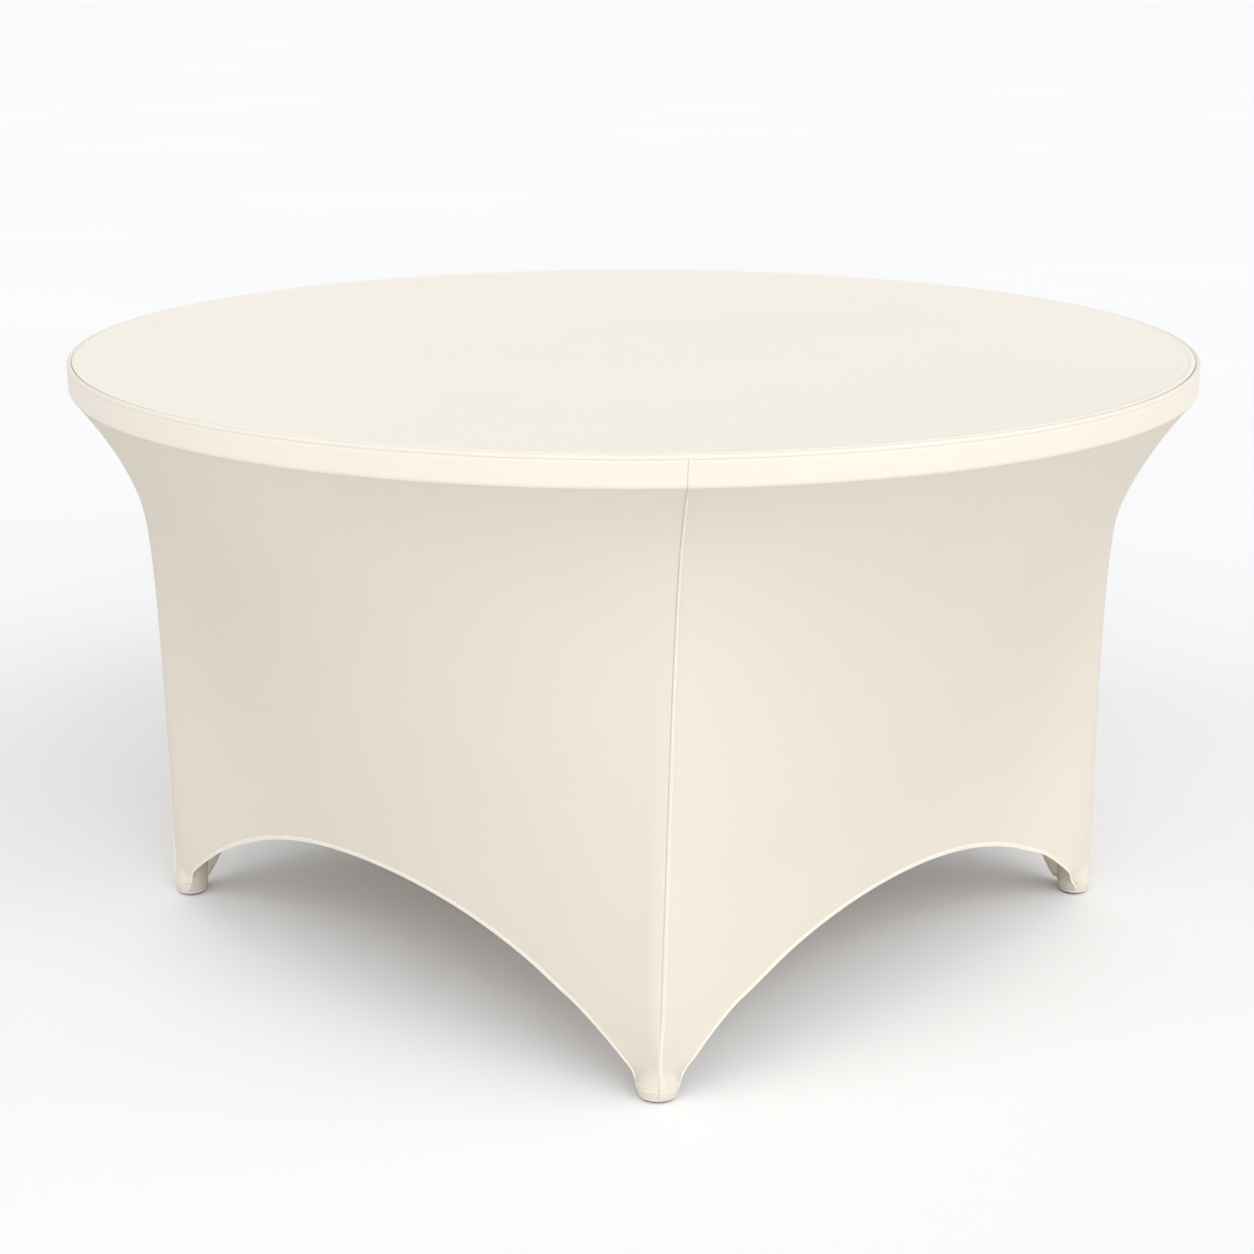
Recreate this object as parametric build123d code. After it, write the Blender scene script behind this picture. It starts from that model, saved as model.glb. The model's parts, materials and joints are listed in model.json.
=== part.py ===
from build123d import *
import os
from math import atan2, cos, degrees, exp, hypot, log, pi, radians, sin, sqrt, tan

# A round folding table under a fitted stretch cover. Millimetres, +Z up, floor at Z = 0.
# The legs stand on a rectangle. The two legs at +X share one folding frame, and the two at -X the other.
# Sides are named by where they face: front -Y, right +X, back +Y, left -X.

# ---- driving dimensions: the table ----
TABLE_HEIGHT = 733.0
FABRIC = 2.0
TOP_RADIUS = 683.6
TOP_THICKNESS = 36.0
TOP_UPPER_ROUND = 12.0
TOP_LOWER_ROUND = 10.0
TOP_WALL = 3.0
SCREW_BOSS_RADIUS = 7.0
LEG_X = 422.0
LEG_Y = 405.0
LEG_RADIUS = 14.0
LEG_WALL = 1.6
HINGE_HEIGHT = {"right": 670.0, "left": 630.0}
HINGE_TUBE_RADIUS = 12.5
HINGE_TUBE_OVERHANG = 26.0
STRETCHER_DROP = 420.0
STRETCHER_RADIUS = 11.0
TUBE_WALL = 1.5
PIVOT_CLEARANCE = 0.08

# ---- driving dimensions: folding braces ----
BRACE_REACH = 362.0
BRACE_DROP = 200.0
BRACE_WIDTH = 18.0
BRACE_THICKNESS = 3.0
BRACE_LINE_Y = 372.0
BRACE_GAP = 0.5
PIN_RADIUS = 4.0
RIVET_HEAD_RADIUS = 6.5
RIVET_HEAD_HEIGHT = 2.2

# ---- driving dimensions: brackets, rails and screws ----
PLATE = 4.0
BRACKET_LENGTH = 62.0
EAR_WIDTH = 40.0
EAR_OFFSET = 20.0
BRACKET_EAR = 28.0
BRACKET_FOOT = 24.0
BRACE_SCREW_STEP = 8.0
RAIL_Y = 335.0
RAIL_LENGTH = 1040.0
RAIL_WIDTH = 30.0
RAIL_HEIGHT = 9.0
RAIL_WALL = 2.0
SCREW_RADIUS = 2.5
SCREW_HEAD_RADIUS = 5.0
SCREW_HEAD_HEIGHT = 2.5
SCREW_DEPTH = 14.0

# ---- driving dimensions: the cover ----
PIPING_RADIUS = 3.2
PIPING_RING_RADIUS = 683.0
COVER_RADIUS = 686.0
COVER_TURN = 10.0
COVER_TURN_HEIGHT = 703.5
COVER_LEAVING_ANGLE = 38.5
CORNER_RADIUS = 604.0
CORNER_FLARE = 90.0
MIDDLE_WAIST = 330.0
MIDDLE_FLARE = 430.0
CORNER_SOFTNESS = 0.028
HEM_RISE = {"front": 171.5, "right": 153.0, "back": 171.5, "left": 153.0}
HEM_AT_CORNER = {"front": 4.0, "right": 10.0, "back": 4.0, "left": 10.0}
HEM_LEAN = {"front": -8.4, "right": 8.4, "back": -8.4, "left": 8.4}  # the arch is higher towards one end
HEM_WIDTH = 8.0
HEM_SHORT = 0.046  # angle by which the hem binding stops short of a corner seam
HEM_PROUD = 0.5
SEWN_GAP = 0.15
SEAM_TAPE_GAP = 0.5
SEAM_TAPE_WIDTH = 8.0
SEAM_TAPE_THICKNESS = 0.9
SEAM_TAPE_SHORT = 24.0  # how far below the rim's turn the tape ends
POCKET_RADIUS = 21.5
POCKET_HEIGHT = 30.0
POCKET_SOLE = 2.5
CAP_RADIUS = 17.5
CAP_TOP = 28.0
CAP_FLOOR = 6.0

# ---- worked out ----
BOARD_TOP = TABLE_HEIGHT - FABRIC
BOARD_UNDERSIDE = BOARD_TOP - TOP_THICKNESS
LEG_AZIMUTH = atan2(LEG_Y, LEG_X)
SIDES = {
    "front": (-pi / 2, pi / 2 - LEG_AZIMUTH),
    "right": (0.0, LEG_AZIMUTH),
    "back": (pi / 2, pi / 2 - LEG_AZIMUTH),
    "left": (pi, LEG_AZIMUTH),
}
LEGS = {
    "right_front": (1, -1),
    "right_back": (1, 1),
    "left_back": (-1, 1),
    "left_front": (-1, -1),
}
TURN_END_RADIUS = COVER_RADIUS - COVER_TURN * (1 - cos(radians(COVER_LEAVING_ANGLE)))
TURN_END_HEIGHT = COVER_TURN_HEIGHT - COVER_TURN * sin(radians(COVER_LEAVING_ANGLE))
PIPING_HEIGHT = TABLE_HEIGHT - PIPING_RADIUS
BAND_TOP = PIPING_HEIGHT - PIPING_RADIUS
SKIRT_BOTTOM = POCKET_HEIGHT + 0.8

os.makedirs("parts", exist_ok=True)


def save(shape, name):
    """Writes one node."""
    shape.label = name
    export_step(shape, f"parts/{name}.step")


def tube_along_y(radius, wall, x, z, y_from, y_to):
    """A round tube that runs along Y."""
    length = y_to - y_from
    place = Location((x, (y_from + y_to) / 2, z), (90, 0, 0))
    return place * (Cylinder(radius, length) - Cylinder(radius - wall, length))


def rod_along_y(radius, x, z, y_from, y_to):
    """A solid round rod that runs along Y."""
    place = Location((x, (y_from + y_to) / 2, z), (90, 0, 0))
    return place * Cylinder(radius, abs(y_to - y_from))


def block(x_from, x_to, y_from, y_to, z_from, z_to):
    """A box given by its two corners, in either order."""
    middle = ((x_from + x_to) / 2, (y_from + y_to) / 2, (z_from + z_to) / 2)
    return Pos(*middle) * Box(abs(x_to - x_from), abs(y_to - y_from), abs(z_to - z_from))


# ---- the table's top ----

def rounded_disc(radius, low, high, lower_round, upper_round):
    """A disc with both edges rounded."""
    disc = Pos(0, 0, (low + high) / 2) * Cylinder(radius, high - low)
    disc = fillet(disc.edges().sort_by(Axis.Z)[-1], upper_round)
    return fillet(disc.edges().sort_by(Axis.Z)[0], lower_round)


def table_top():
    """Hollow moulded board with rounded edges, and a boss with a blind hole for each bracket screw."""
    board = rounded_disc(TOP_RADIUS, BOARD_UNDERSIDE, BOARD_TOP, TOP_LOWER_ROUND, TOP_UPPER_ROUND)
    hollow = rounded_disc(TOP_RADIUS - TOP_WALL, BOARD_UNDERSIDE + TOP_WALL, BOARD_TOP - TOP_WALL,
                          TOP_LOWER_ROUND - TOP_WALL, TOP_UPPER_ROUND - TOP_WALL)
    boss_height = SCREW_DEPTH + TOP_WALL
    for x, y, _ in screw_places():
        hollow -= Pos(x, y, BOARD_UNDERSIDE + boss_height / 2) * Cylinder(SCREW_BOSS_RADIUS, boss_height)
    board -= hollow
    for x, y, _ in screw_places():
        board -= Pos(x, y, BOARD_UNDERSIDE + SCREW_DEPTH / 2) * Cylinder(SCREW_RADIUS, SCREW_DEPTH)
    return board


def rail(y):
    """Shallow steel channel along X, open upwards, that stiffens the top."""
    x_half = RAIL_LENGTH / 2
    y_half = RAIL_WIDTH / 2
    outer = block(-x_half, x_half, y - y_half, y + y_half, BOARD_UNDERSIDE - RAIL_HEIGHT, BOARD_UNDERSIDE)
    y_hollow = y_half - RAIL_WALL
    hollow = block(-x_half, x_half, y - y_hollow, y + y_hollow, BOARD_UNDERSIDE - RAIL_HEIGHT + RAIL_WALL,
                   BOARD_UNDERSIDE)
    return outer - hollow


# ---- brackets under the top ----

def pivot_bracket_base(x_way, y_way):
    """Corner limits of a pivot bracket's base plate."""
    x = x_way * LEG_X
    y = y_way * LEG_Y
    reach = EAR_OFFSET + PLATE
    return x - BRACKET_LENGTH / 2, x + BRACKET_LENGTH / 2, y - reach, y + reach


def pivot_bracket(frame, x_way, y_way):
    """Base plate with two ears that hold the hinge tube on both sides of a leg."""
    x_low, x_high, y_low, y_high = pivot_bracket_base(x_way, y_way)
    x = x_way * LEG_X
    y = y_way * LEG_Y
    z = HINGE_HEIGHT[frame]
    bracket = block(x_low, x_high, y_low, y_high, BOARD_UNDERSIDE - PLATE, BOARD_UNDERSIDE)
    for way in (-1, 1):
        near = y + way * EAR_OFFSET
        far = near + way * PLATE
        ear = block(x - EAR_WIDTH / 2, x + EAR_WIDTH / 2, near, far, z, BOARD_UNDERSIDE - PLATE)
        ear += rod_along_y(EAR_WIDTH / 2, x, z, min(near, far), max(near, far))
        bracket += ear & block(x_low, x_high, near, far, 0, BOARD_UNDERSIDE - PLATE)
    bracket -= rod_along_y(HINGE_TUBE_RADIUS + PIVOT_CLEARANCE, x, z, y_low, y_high)
    for hole_x, hole_y in bracket_holes(x_way, y_way):
        bracket -= Pos(hole_x, hole_y, BOARD_UNDERSIDE - PLATE / 2) * Cylinder(SCREW_RADIUS, PLATE)
    return bracket


def bracket_holes(x_way, y_way):
    """Screw places in a pivot bracket's base, one at each end, in line with the leg."""
    x = x_way * LEG_X
    y = y_way * LEG_Y
    step = BRACKET_LENGTH / 2 - 6
    return [(x - step, y), (x + step, y)]


def brace_pivot(frame, x_way):
    """Where a brace's upper arm is pinned under the top: X and Z."""
    return x_way * (LEG_X - BRACE_REACH), HINGE_HEIGHT[frame]


def brace_bracket(frame, x_way, y_way):
    """Angle bracket with one ear and a riveted pin for the upper arm."""
    x, z = brace_pivot(frame, x_way)
    near = y_way * BRACE_LINE_Y
    far = near + y_way * BRACE_THICKNESS
    half = BRACKET_EAR / 2
    bracket = block(x - half, x + half, near, far, z, BOARD_UNDERSIDE)
    bracket += rod_along_y(half, x, z, near, far) & block(x - half, x + half, near, far, 0, BOARD_UNDERSIDE)
    bracket += block(x - half, x + half, far - y_way * BRACKET_FOOT, far, BOARD_UNDERSIDE - BRACE_THICKNESS,
                     BOARD_UNDERSIDE)
    pin_end = near - y_way * (BRACE_THICKNESS + 2 * BRACE_GAP)
    bracket += rod_along_y(PIN_RADIUS, x, z, pin_end, far)
    bracket += rod_along_y(RIVET_HEAD_RADIUS, x, z, pin_end - y_way * RIVET_HEAD_HEIGHT, pin_end)
    for hole_x, hole_y in brace_bracket_holes(x_way, y_way):
        hole = Pos(hole_x, hole_y, BOARD_UNDERSIDE - BRACE_THICKNESS / 2) * Cylinder(SCREW_RADIUS, BRACE_THICKNESS)
        bracket -= hole
    return bracket


def brace_bracket_holes(x_way, y_way):
    """Screw places in a brace bracket's foot."""
    x = x_way * (LEG_X - BRACE_REACH)
    y = y_way * (BRACE_LINE_Y - BRACKET_FOOT / 2)
    return [(x - BRACE_SCREW_STEP, y), (x + BRACE_SCREW_STEP, y)]


def screw_places():
    """Every screw: X, Y and the thickness of the plate that it holds."""
    places = []
    for x_way, y_way in LEGS.values():
        places += [(x, y, PLATE) for x, y in bracket_holes(x_way, y_way)]
        places += [(x, y, BRACE_THICKNESS) for x, y in brace_bracket_holes(x_way, y_way)]
    return places


def screws():
    """All bracket screws: round heads below the plates, shanks up into the board."""
    pieces = []
    for x, y, plate in screw_places():
        head_top = BOARD_UNDERSIDE - plate
        head = Pos(x, y, head_top - SCREW_HEAD_HEIGHT / 2) * Cylinder(SCREW_HEAD_RADIUS, SCREW_HEAD_HEIGHT)
        head = fillet(head.edges().sort_by(Axis.Z)[0], SCREW_HEAD_HEIGHT * 0.6)
        shank_length = plate + SCREW_DEPTH
        pieces.append(head + Pos(x, y, head_top + shank_length / 2) * Cylinder(SCREW_RADIUS, shank_length))
    return Compound(children=pieces)


# ---- leg frames ----

def leg(frame, x_way, y_way):
    """Round steel leg tube, notched at its head to fit round the hinge tube that it is welded to."""
    bottom = CAP_FLOOR
    top = HINGE_HEIGHT[frame]
    middle = Pos(x_way * LEG_X, y_way * LEG_Y, (bottom + top) / 2)
    tube = middle * (Cylinder(LEG_RADIUS, top - bottom) - Cylinder(LEG_RADIUS - LEG_WALL, top - bottom))
    y = y_way * LEG_Y
    notch = rod_along_y(HINGE_TUBE_RADIUS, x_way * LEG_X, top, y - 2 * LEG_RADIUS, y + 2 * LEG_RADIUS)
    tube -= notch
    return max(tube.solids(), key=lambda piece: piece.volume)


def hinge_tube(frame, x_way):
    """Cross tube on the fold axis, turning in the ears of both pivot brackets."""
    reach = LEG_Y + HINGE_TUBE_OVERHANG
    return tube_along_y(HINGE_TUBE_RADIUS, TUBE_WALL, x_way * LEG_X, HINGE_HEIGHT[frame], -reach, reach)


def stretcher(frame, x_way):
    """Lower cross tube between the two legs of a frame."""
    x = x_way * LEG_X
    z = HINGE_HEIGHT[frame] - STRETCHER_DROP
    tube = tube_along_y(STRETCHER_RADIUS, TUBE_WALL, x, z, -LEG_Y, LEG_Y)
    for y in (-LEG_Y, LEG_Y):
        tube -= Pos(x, y, z) * Cylinder(LEG_RADIUS, 4 * STRETCHER_RADIUS)
    return max(tube.solids(), key=lambda piece: piece.volume)


def brace_stud(frame, x_way, y_way):
    """Shouldered stud on the inner side of a leg. The lower arm turns on its end, which is flush."""
    x = x_way * LEG_X
    z = HINGE_HEIGHT[frame] - BRACE_DROP
    stud = rod_along_y(PIN_RADIUS, x, z, y_way * BRACE_LINE_Y, y_way * LEG_Y)
    shoulder_from = y_way * (BRACE_LINE_Y + BRACE_THICKNESS + BRACE_GAP)
    stud += rod_along_y(RIVET_HEAD_RADIUS, x, z, shoulder_from, y_way * LEG_Y)
    stud -= Pos(x, y_way * LEG_Y, z) * Cylinder(LEG_RADIUS, 6 * PIN_RADIUS)
    return max(stud.solids(), key=lambda piece: piece.volume)


def foot_cap(x_way, y_way):
    """Rubber cap pushed on the end of a leg."""
    height = CAP_TOP - POCKET_SOLE
    cap = Pos(x_way * LEG_X, y_way * LEG_Y, POCKET_SOLE + height / 2) * Cylinder(CAP_RADIUS, height)
    cap = fillet(cap.edges().sort_by(Axis.Z)[-1], 2.0)
    cavity = CAP_TOP - CAP_FLOOR
    cap -= Pos(x_way * LEG_X, y_way * LEG_Y, CAP_FLOOR + cavity / 2) * Cylinder(LEG_RADIUS, cavity)
    return cap


def foot_pocket(x_way, y_way):
    """Stitched fabric cup with a doubled sole that hooks the cover under a foot."""
    place = Pos(x_way * LEG_X, y_way * LEG_Y, POCKET_HEIGHT / 2)
    cup = place * Cylinder(POCKET_RADIUS, POCKET_HEIGHT)
    cup = fillet(cup.edges().sort_by(Axis.Z)[0], 2.0)
    depth = POCKET_HEIGHT - POCKET_SOLE
    cup -= Pos(x_way * LEG_X, y_way * LEG_Y, POCKET_SOLE + depth / 2) * Cylinder(CAP_RADIUS, depth)
    return cup


# ---- folding braces ----

def brace_shape():
    """The brace's fixed sizes: both arm lengths, and its slope when the legs are down."""
    open_length = hypot(BRACE_REACH, BRACE_DROP)
    folded_length = BRACE_REACH - BRACE_DROP
    upper = (open_length + folded_length) / 2
    lower = (open_length - folded_length) / 2
    return upper, lower, atan2(BRACE_DROP, BRACE_REACH)


def brace_knee(frame, x_way):
    """Where the two arms meet when the legs are down: X and Z."""
    upper, _, slope = brace_shape()
    x, z = brace_pivot(frame, x_way)
    return x + x_way * upper * cos(slope), z - upper * sin(slope)


def flat_bar(start, end, y_from, y_to):
    """Flat steel bar with round ends between two points in the XZ plane."""
    length = hypot(end[0] - start[0], end[1] - start[1])
    angle = degrees(atan2(end[1] - start[1], end[0] - start[0]))
    y_low = min(y_from, y_to)
    thickness = abs(y_to - y_from)
    middle = ((start[0] + end[0]) / 2, y_low + thickness / 2, (start[1] + end[1]) / 2)
    bar = Location(middle, (0, -angle, 0)) * Box(length, thickness, BRACE_WIDTH)
    for x, z in (start, end):
        bar += rod_along_y(BRACE_WIDTH / 2, x, z, y_low, y_low + thickness)
    return bar


def upper_brace(frame, x_way, y_way):
    """Upper arm, with its pin hole, and the inside head of the knee rivet."""
    start = brace_pivot(frame, x_way)
    end = brace_knee(frame, x_way)
    far = y_way * (BRACE_LINE_Y - BRACE_GAP)
    near = far - y_way * BRACE_THICKNESS
    arm = flat_bar(start, end, near, far)
    arm -= rod_along_y(PIN_RADIUS + PIVOT_CLEARANCE, *start, near, far)
    arm += rod_along_y(RIVET_HEAD_RADIUS, *end, near - y_way * RIVET_HEAD_HEIGHT, near)
    return arm


def lower_brace(frame, x_way, y_way):
    """Lower arm, with its stud hole, and the outside head of the knee rivet."""
    start = brace_knee(frame, x_way)
    end = (x_way * LEG_X, HINGE_HEIGHT[frame] - BRACE_DROP)
    near = y_way * BRACE_LINE_Y
    far = near + y_way * BRACE_THICKNESS
    arm = flat_bar(start, end, near, far)
    arm -= rod_along_y(PIN_RADIUS + PIVOT_CLEARANCE, *end, near, far)
    arm += rod_along_y(RIVET_HEAD_RADIUS, *start, far, far + y_way * RIVET_HEAD_HEIGHT)
    return arm


# ---- the cover's shape ----

def nearest_side(azimuth):
    """The side that an azimuth belongs to, and its angle from that side's middle."""
    best = None
    for side, (middle, half) in SIDES.items():
        offset = (azimuth - middle + pi) % (2 * pi) - pi
        if best is None or abs(offset) / half < abs(best[1]) / SIDES[best[0]][1]:
            best = (side, offset)
    return best


def corner_profile(z):
    """Distance of a corner seam from the table's axis: it flares out to the rim."""
    drop = exp((z - TURN_END_HEIGHT) / CORNER_FLARE)
    drop_at_foot = exp((POCKET_HEIGHT - TURN_END_HEIGHT) / CORNER_FLARE)
    share = (drop - drop_at_foot) / (1 - drop_at_foot)
    return CORNER_RADIUS + (TURN_END_RADIUS - CORNER_RADIUS) * share


def middle_profile(z):
    """Distance of a panel's middle line from the table's axis."""
    return TURN_END_RADIUS - MIDDLE_WAIST * (1 - exp((z - TURN_END_HEIGHT) / MIDDLE_FLARE))


def skirt_radius(azimuth, z):
    """The stretched skirt below the rim: nearly flat between corners low down, round at the top."""
    side, offset = nearest_side(azimuth)
    half = SIDES[side][1]
    middle = middle_profile(z)
    sharpness = log(corner_profile(z) / middle) / -log(cos(half - CORNER_SOFTNESS))
    eased = half - sqrt((half - abs(offset)) ** 2 + CORNER_SOFTNESS ** 2)
    return middle * cos(eased) ** -sharpness


def hem_height(azimuth):
    """The arched bottom of a panel, a parabola between two feet."""
    side, offset = nearest_side(azimuth)
    share = (tan(abs(offset)) / tan(SIDES[side][1])) ** 2
    arch = HEM_RISE[side] - (HEM_RISE[side] - HEM_AT_CORNER[side]) * share
    return arch + HEM_LEAN[side] * offset * (1 - share)


def cover_radius(azimuth, z):
    """The cover's outer face: the skirt, the turn under the rim, and the straight rim band."""
    if z < TURN_END_HEIGHT:
        return skirt_radius(azimuth, z)
    if z < COVER_TURN_HEIGHT:
        return COVER_RADIUS - COVER_TURN + sqrt(COVER_TURN ** 2 - (COVER_TURN_HEIGHT - z) ** 2)
    return COVER_RADIUS


def cover_point(azimuth, z, depth=0.0):
    """A point of the cover at an azimuth and height, moved in from the outer face by a depth."""
    def outer(at_azimuth, at_z):
        radius = cover_radius(at_azimuth, at_z)
        return Vector(radius * cos(at_azimuth), radius * sin(at_azimuth), at_z)

    turn = 0.0005
    lift = 0.2
    along = outer(azimuth + turn, z) - outer(azimuth - turn, z)
    up = outer(azimuth, z + lift) - outer(azimuth, z - lift)
    return outer(azimuth, z) - along.cross(up).normalized() * depth


def sheet_solid(azimuths, heights_at, outer_depth, inner_depth):
    """A closed curved sheet between two depths, with heights_at(azimuth) giving its rows from below."""
    skins = []
    for depth in (outer_depth, inner_depth):
        columns = [[cover_point(azimuth, z, depth) for z in heights_at(azimuth)] for azimuth in azimuths]
        skins.append(Face.make_surface_from_array_of_points(columns, tol=0.02, min_deg=3, max_deg=5))
    outer, inner = skins
    faces = [outer, inner]
    for edge in outer.edges():
        middle = edge.position_at(0.5)
        partner = min(inner.edges(), key=lambda other: (other.position_at(0.5) - middle).length)
        faces.append(Face.make_surface_from_curves(edge, partner))
    solid = Solid(Shell(faces))
    return solid if solid.volume > 0 else Solid(Shell([-face for face in faces]))


def rows(low, high, count):
    """Evenly spaced values, both ends included."""
    return [low + (high - low) * i / (count - 1) for i in range(count)]


def side_azimuths(side, count, spare):
    """Azimuths across a side, closer together towards its corners and stopping a little short of them."""
    middle, half = SIDES[side]
    return [middle + (half - spare) * sin(share * pi / 2) for share in rows(-1, 1, count)]


def panel_bottom(azimuth):
    """The panel's lower edge: above the hem binding, and above the foot pocket at a corner."""
    hem = hem_height(azimuth) + HEM_WIDTH
    ease = 6.0
    return (hem + SKIRT_BOTTOM + sqrt((hem - SKIRT_BOTTOM) ** 2 + ease ** 2)) / 2


def skirt_panel(side):
    """One panel of the skirt, from its arched bottom edge over the rim to the edge piping."""
    def heights(azimuth):
        below = rows(panel_bottom(azimuth), TURN_END_HEIGHT, 16)
        turn = rows(TURN_END_HEIGHT, COVER_TURN_HEIGHT, 6)
        band = rows(COVER_TURN_HEIGHT, BAND_TOP, 6)
        return below + turn[1:] + band[1:]

    return sheet_solid(side_azimuths(side, 33, 0.0002), heights, 0.0, FABRIC)


def hem_binding(side):
    """The bound lower edge of a panel, a little proud of it on both faces."""
    def heights(azimuth):
        top = panel_bottom(azimuth) - SEWN_GAP
        return rows(top - HEM_WIDTH, top, 3)

    return sheet_solid(side_azimuths(side, 33, HEM_SHORT), heights, -HEM_PROUD, FABRIC + HEM_PROUD)


def seam_tape(x_way, y_way):
    """Tape sewn behind a corner seam, from the rim down to the foot pocket."""
    corner = atan2(y_way * LEG_Y, x_way * LEG_X)
    half = SEAM_TAPE_WIDTH / 2 / CORNER_RADIUS
    low = SKIRT_BOTTOM + 4
    high = TURN_END_HEIGHT - SEAM_TAPE_SHORT
    near = FABRIC + SEAM_TAPE_GAP
    return sheet_solid(rows(corner - half, corner + half, 9), lambda _: rows(low, high, 45), near,
                       near + SEAM_TAPE_THICKNESS)


def cover_top():
    """Round top panel of the cover."""
    radius = PIPING_RING_RADIUS - PIPING_RADIUS
    return Pos(0, 0, TABLE_HEIGHT - FABRIC / 2) * Cylinder(radius, FABRIC)


def edge_piping():
    """Corded seam that joins the top panel to the skirt all the way round."""
    return Pos(0, 0, PIPING_HEIGHT) * Torus(PIPING_RING_RADIUS, PIPING_RADIUS)


# ---- all nodes ----

save(table_top(), "table_top")
save(rail(-RAIL_Y), "rail_front")
save(rail(RAIL_Y), "rail_back")
save(screws(), "bracket_screws")
for frame_name, way in (("right", 1), ("left", -1)):
    save(hinge_tube(frame_name, way), f"hinge_tube_{frame_name}")
    save(stretcher(frame_name, way), f"stretcher_{frame_name}")
for corner_name, ways in LEGS.items():
    frame_name = corner_name.split("_")[0]
    save(pivot_bracket(frame_name, *ways), f"pivot_bracket_{corner_name}")
    save(brace_bracket(frame_name, *ways), f"brace_bracket_{corner_name}")
    save(leg(frame_name, *ways), f"leg_{corner_name}")
    save(brace_stud(frame_name, *ways), f"brace_stud_{corner_name}")
    save(foot_cap(*ways), f"foot_cap_{corner_name}")
    save(foot_pocket(*ways), f"foot_pocket_{corner_name}")
    save(upper_brace(frame_name, *ways), f"upper_brace_{corner_name}")
    save(lower_brace(frame_name, *ways), f"lower_brace_{corner_name}")
    save(seam_tape(*ways), f"seam_tape_{corner_name}")
for side_name in SIDES:
    save(skirt_panel(side_name), f"skirt_{side_name}")
    save(hem_binding(side_name), f"hem_{side_name}")
save(cover_top(), "cover_top")
save(edge_piping(), "edge_piping")
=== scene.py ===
"""A fitted stretch cover on a round folding table: the looks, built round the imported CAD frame."""

import json
from math import asin, atan2, cos, exp, hypot, log, pi, radians, sin, sqrt, tan

import bpy
import bmesh
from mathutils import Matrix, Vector


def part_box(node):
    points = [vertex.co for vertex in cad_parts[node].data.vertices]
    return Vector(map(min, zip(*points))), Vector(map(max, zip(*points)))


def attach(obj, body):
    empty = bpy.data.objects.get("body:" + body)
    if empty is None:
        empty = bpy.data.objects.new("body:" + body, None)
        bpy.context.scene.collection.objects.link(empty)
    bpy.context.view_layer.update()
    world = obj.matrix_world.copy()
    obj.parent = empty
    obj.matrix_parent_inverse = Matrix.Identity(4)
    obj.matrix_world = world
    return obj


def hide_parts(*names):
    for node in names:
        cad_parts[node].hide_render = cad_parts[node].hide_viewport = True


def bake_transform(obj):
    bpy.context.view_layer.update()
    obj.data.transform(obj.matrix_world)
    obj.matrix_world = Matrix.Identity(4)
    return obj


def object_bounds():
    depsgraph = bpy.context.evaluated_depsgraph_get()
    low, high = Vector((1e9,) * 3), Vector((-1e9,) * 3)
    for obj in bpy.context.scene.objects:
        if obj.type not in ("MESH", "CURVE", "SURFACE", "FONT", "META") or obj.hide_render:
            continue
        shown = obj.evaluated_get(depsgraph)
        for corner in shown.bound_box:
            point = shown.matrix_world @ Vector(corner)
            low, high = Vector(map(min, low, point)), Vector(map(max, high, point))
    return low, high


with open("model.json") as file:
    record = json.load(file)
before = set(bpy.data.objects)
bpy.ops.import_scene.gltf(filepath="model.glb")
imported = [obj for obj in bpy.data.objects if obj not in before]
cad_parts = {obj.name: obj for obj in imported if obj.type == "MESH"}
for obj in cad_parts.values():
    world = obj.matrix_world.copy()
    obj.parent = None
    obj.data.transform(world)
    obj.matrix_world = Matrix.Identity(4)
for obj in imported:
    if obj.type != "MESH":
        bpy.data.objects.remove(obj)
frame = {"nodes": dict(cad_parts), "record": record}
cad_low, cad_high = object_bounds()

# ---- sizes taken from the frame, in metres ----
TABLE_HEIGHT = cad_high.z
RIM_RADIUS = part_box("skirt_right")[1].x
piping_low, piping_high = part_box("edge_piping")
PIPING_RADIUS = (piping_high.z - piping_low.z) / 2
PIPING_RING = piping_high.x - PIPING_RADIUS
PIPING_HEIGHT = piping_high.z - PIPING_RADIUS
cap_low, cap_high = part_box("foot_cap_right_back")
LEG_X = (cap_low.x + cap_high.x) / 2
LEG_Y = (cap_low.y + cap_high.y) / 2
LEG_REACH = hypot(LEG_X, LEG_Y)
LEG_AZIMUTH = atan2(LEG_Y, LEG_X)

# ---- the cover's shape, in metres: the part's own formula, with a tighter turn under the rim ----
COVER_TURN = 0.007
COVER_TURN_HEIGHT = TABLE_HEIGHT - 0.0295
COVER_LEAVING_ANGLE = radians(38.5)
TURN_END_RADIUS = RIM_RADIUS - COVER_TURN * (1 - cos(COVER_LEAVING_ANGLE))
TURN_END_HEIGHT = COVER_TURN_HEIGHT - COVER_TURN * sin(COVER_LEAVING_ANGLE)
CORNER_RADIUS = 0.604
CORNER_FLARE = 0.090
MIDDLE_WAIST = 0.330
MIDDLE_FLARE = 0.430
CORNER_SOFTNESS = 0.028
CORNER_FOOT_HEIGHT = 0.030
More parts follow.
